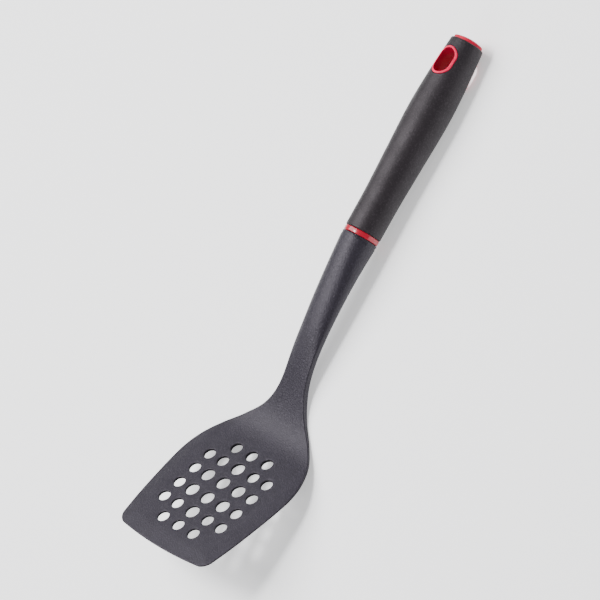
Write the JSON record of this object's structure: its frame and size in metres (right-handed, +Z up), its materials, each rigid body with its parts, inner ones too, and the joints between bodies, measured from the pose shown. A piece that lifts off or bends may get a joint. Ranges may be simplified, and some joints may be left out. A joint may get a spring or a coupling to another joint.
{
  "type": "grill spatula",
  "caption": "Grill spatula: perforated nylon blade with a thinned front lip, curved neck, red collar, soft-touch barrel grip, red-lined hanging hole and domed red end cap.",
  "frame": {"origin": "point on the resting surface under the middle of the tool's bounding box, with the tool lying on its blade's heel and the underside of the handle's end", "axes": "+Z up from the resting surface, +Y along the tool from the blade's front edge towards the handle's end cap, +X to the right across the blade"},
  "size_m": [0.0896, 0.3254, 0.0428],
  "materials": {
    "black_nylon": "fine-grained matte glass-filled nylon",
    "soft_rubber": "soft-touch, finely textured",
    "core_plastic": "as moulded, hidden",
    "red_collar": "polished",
    "red_eyelet": "polished",
    "red_cap": "polished"
  },
  "bodies": {
    "root": {"turner_head": "black_nylon", "collar_band": "red_collar", "core_front_half": "core_plastic", "core_back_half": "core_plastic", "soft_grip": "soft_rubber", "front_eyelet": "red_eyelet", "back_eyelet": "red_eyelet", "end_cap": "red_cap"}
  },
  "joints": []
}
